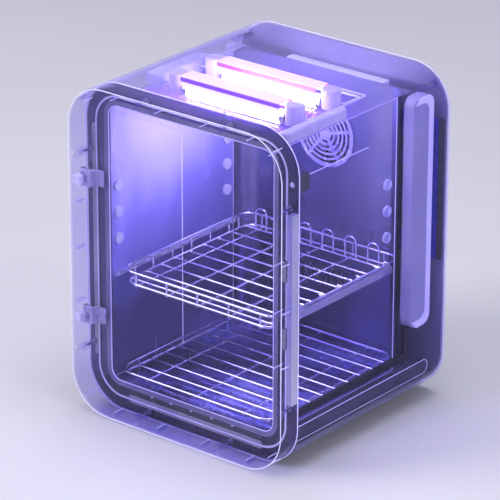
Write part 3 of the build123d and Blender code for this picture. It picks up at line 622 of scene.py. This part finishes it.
DUCT_Y = (0.102, 0.138)
DUCT_Z = (0.092, 0.372)
DUCT_R = 0.012
RIM_X = 0.1389
RIM_FROM_Y = 0.112
RIM_W = 0.008
RIM_T = 0.0016
# The rims along the ducts' rear edges are painted highlights.
for side, name in ((-1, "left"), (1, "right")):
    outer = rounded_side(side * RIM_X, DUCT_Y, DUCT_Z, DUCT_R)
    shifted_y = (DUCT_Y[0] - RIM_W, DUCT_Y[1] - RIM_W)
    shorter_z = (DUCT_Z[0] + RIM_W, DUCT_Z[1] - RIM_W)
    inner = rounded_side(side * RIM_X, shifted_y, shorter_z, DUCT_R)
    rear = [i for i, point in enumerate(outer) if point[1] > RIM_FROM_Y]
    rear.sort(key=lambda i: outer[i][2])
    rows = [[row[i] for i in rear] for row in (outer, inner)]
    band(f"duct_rim_{name}", *rows, RIM_T, EDGE_HIGHLIGHT, "cabinet", "duct_plastic", closed=False)

BASE_DUCT_X = 0.1373
BASE_DUCT_Y = (-0.1162, 0.1392)
BASE_DUCT_Z = (0.0278, 0.0448)
BASE_DUCT_R = 0.0084
BASE_BEAD_R = 0.00045
base_loop = rounded_side(BASE_DUCT_X, BASE_DUCT_Y, BASE_DUCT_Z, BASE_DUCT_R)
# A painted highlight bead runs round the base duct.
wires("base_duct_bead", [base_loop], BASE_BEAD_R, EDGE_HIGHLIGHT, "cabinet", closed=True)


# ---------------------------------------------------------------- lip, hinge blocks, shield, ribs and shade sheet

LIP_Y = -0.1219
LIP_W = 0.0065
LIP_GAP = 0.0008
LIP_T = 0.0006
band("mouth_lip", mouth(LIP_Y, LIP_W), mouth(LIP_Y, LIP_GAP), LIP_T, LIP, "cabinet", "frame_plastic")

BLOCK_X = (-0.1496, -0.1405)
BLOCK_Y = (-0.1486, -0.1396)
BLOCK_HALF_H = 0.0055
BLOCK_EDGE = 0.0008
HINGE_Z = {"upper": 0.282, "lower": 0.1145}
for name, z in HINGE_Z.items():
    low = (BLOCK_X[0], BLOCK_Y[0], z - BLOCK_HALF_H)
    high = (BLOCK_X[1], BLOCK_Y[1], z + BLOCK_HALF_H)
    bar(f"hinge_block_{name}", low, high, BLOCK_EDGE, WHITE, "door")

# A dark shield stands beside the blue board.
SHIELD_LOW = (0.1422, 0.1440, 0.168)
SHIELD_HIGH = (0.1490, 0.1465, 0.339)
SHIELD_EDGE = 0.0006
bar("board_shield", SHIELD_LOW, SHIELD_HIGH, SHIELD_EDGE, PARTS, "cabinet")

# Painted highlight beads along the ribs inside the door's wall: on its sides, its top and bottom, and its
# corners.
RIB_Y = (-0.1500, -0.1345)
OUTER_RIB_Y = (RIB_Y[0] + 0.003, RIB_Y[1])
CORNER_RIB_Y = (RIB_Y[0] + 0.002, RIB_Y[1] + 0.002)
RIB_Z = (0.1345, 0.199, 0.255)
RIB_OUTER_X = 0.1500
RIB_INNER_X = 0.1412
RIB_X = (-0.090, -0.026, 0.038, 0.103)
RIB_UP = 0.1888
CORNER_REACH = (0.0298, 0.0352)
ribs = []
for side in (-1, 1):
    for z in RIB_Z:
        ribs.append([(side * RIB_OUTER_X, y, z) for y in OUTER_RIB_Y])
        ribs.append([(side * RIB_INNER_X, y, z) for y in RIB_Y])
    for x in RIB_X:
        ribs.append([(x, y, MIDDLE_Z + side * RIB_UP) for y in RIB_Y])
    for level in (-1, 1):
        centre = Vector((side * (HALF_W - SHELL_R), 0, MIDDLE_Z + level * (HALF_H - SHELL_R)))
        for reach in CORNER_REACH:
            spot = centre + Vector((side, 0, level)) * reach
            ribs.append([(spot.x, y, spot.z) for y in CORNER_RIB_Y])
wires("rib_edges", ribs, FINE_BEAD_R, EDGE_HIGHLIGHT, "door")

# The dark sheet under the chamber is painted shade; it follows the bottom of the shell.
SHADE_SHEET_Y = (-0.117, 0.146)
SHADE_SHEET_INSET = 0.0042
SHADE_SHEET_TOP_Z = 0.03
SHADE_SHEET_T = 0.0012
bottom = sorted((x, z) for x, _, z in outline(0, SHADE_SHEET_INSET) if z < SHADE_SHEET_TOP_Z)
rear_row, front_row = ([(x, y, z) for x, z in bottom] for y in reversed(SHADE_SHEET_Y))
band(
    "base_shade_sheet",
    rear_row,
    front_row,
    SHADE_SHEET_T,
    SHADE_SHEET,
    "cabinet",
    "seal_black",
    closed=False,
    soft=False,
)


# ---------------------------------------------------------------- stage, lights and camera

OBJECT_MIDDLE = (0, 0, 0.2)
FLOOR_HALF = 6
STUDIO_COLOUR = (0.55, 0.54, 0.68, 1)
STUDIO_STRENGTH = 0.6
CAMERA_PLACE = (2.2587, -2.8006, 1.6891)
CAMERA_ROLL = math.radians(0.2)


def aimed(place, target):
    """The matrix of a lamp or camera at one place that looks at another."""
    look = Vector(target) - Vector(place)
    return Matrix.Translation(place) @ look.to_track_quat("-Z", "Y").to_matrix().to_4x4()


def area_light(name, place, target, size, power, colour):
    lamp = bpy.data.lights.new(name, "AREA")
    lamp.shape = "RECTANGLE"
    lamp.size, lamp.size_y = size
    lamp.energy = power
    lamp.color = colour
    holder = bpy.data.objects.new(name, lamp)
    bpy.context.scene.collection.objects.link(holder)
    holder.matrix_world = aimed(place, target)


mesh = bpy.data.meshes.new("floor")
corners = [(x * FLOOR_HALF, y * FLOOR_HALF, 0) for x, y in ((-1, -1), (1, -1), (1, 1), (-1, 1))]
mesh.from_pydata(corners, [], [(0, 1, 2, 3)])
floor = bpy.data.objects.new("floor", mesh)
bpy.context.scene.collection.objects.link(floor)
FLOOR = solid("floor_paint", (0.60, 0.60, 0.64), (0.62, 0.62, 0.66), (0.6, 0.8), blotch=2)
floor.data.materials.append(FLOOR.material)

world = bpy.data.worlds.new("studio")
bpy.context.scene.world = world
world.use_nodes = True
background = world.node_tree.nodes["Background"]
background.inputs["Color"].default_value = STUDIO_COLOUR
background.inputs["Strength"].default_value = STUDIO_STRENGTH

area_light("key", (-1.6, -2.0, 2.4), OBJECT_MIDDLE, (1.5, 1.5), 70, (1.0, 0.98, 1.0))
area_light("fill", (2.6, -0.2, 1.2), OBJECT_MIDDLE, (1.2, 1.6), 26, (0.9, 0.92, 1.0))
area_light("top", (0.1, 0.2, 2.6), (0, 0, 0.3), (1.8, 1.4), 34, (0.94, 0.93, 1.0))

bpy.context.scene.view_settings.view_transform = "Standard"

# The camera was solved from the cabinet's edges in the photograph.
camera = bpy.data.cameras.new("camera")
camera.lens = 247.5
camera.sensor_width = 36
camera.shift_x = -0.0191
camera.shift_y = -0.0195
camera.clip_end = 50
viewer = bpy.data.objects.new("camera", camera)
bpy.context.scene.collection.objects.link(viewer)
viewer.matrix_world = aimed(CAMERA_PLACE, OBJECT_MIDDLE) @ Matrix.Rotation(CAMERA_ROLL, 4, "Z")
bpy.context.scene.camera = viewer
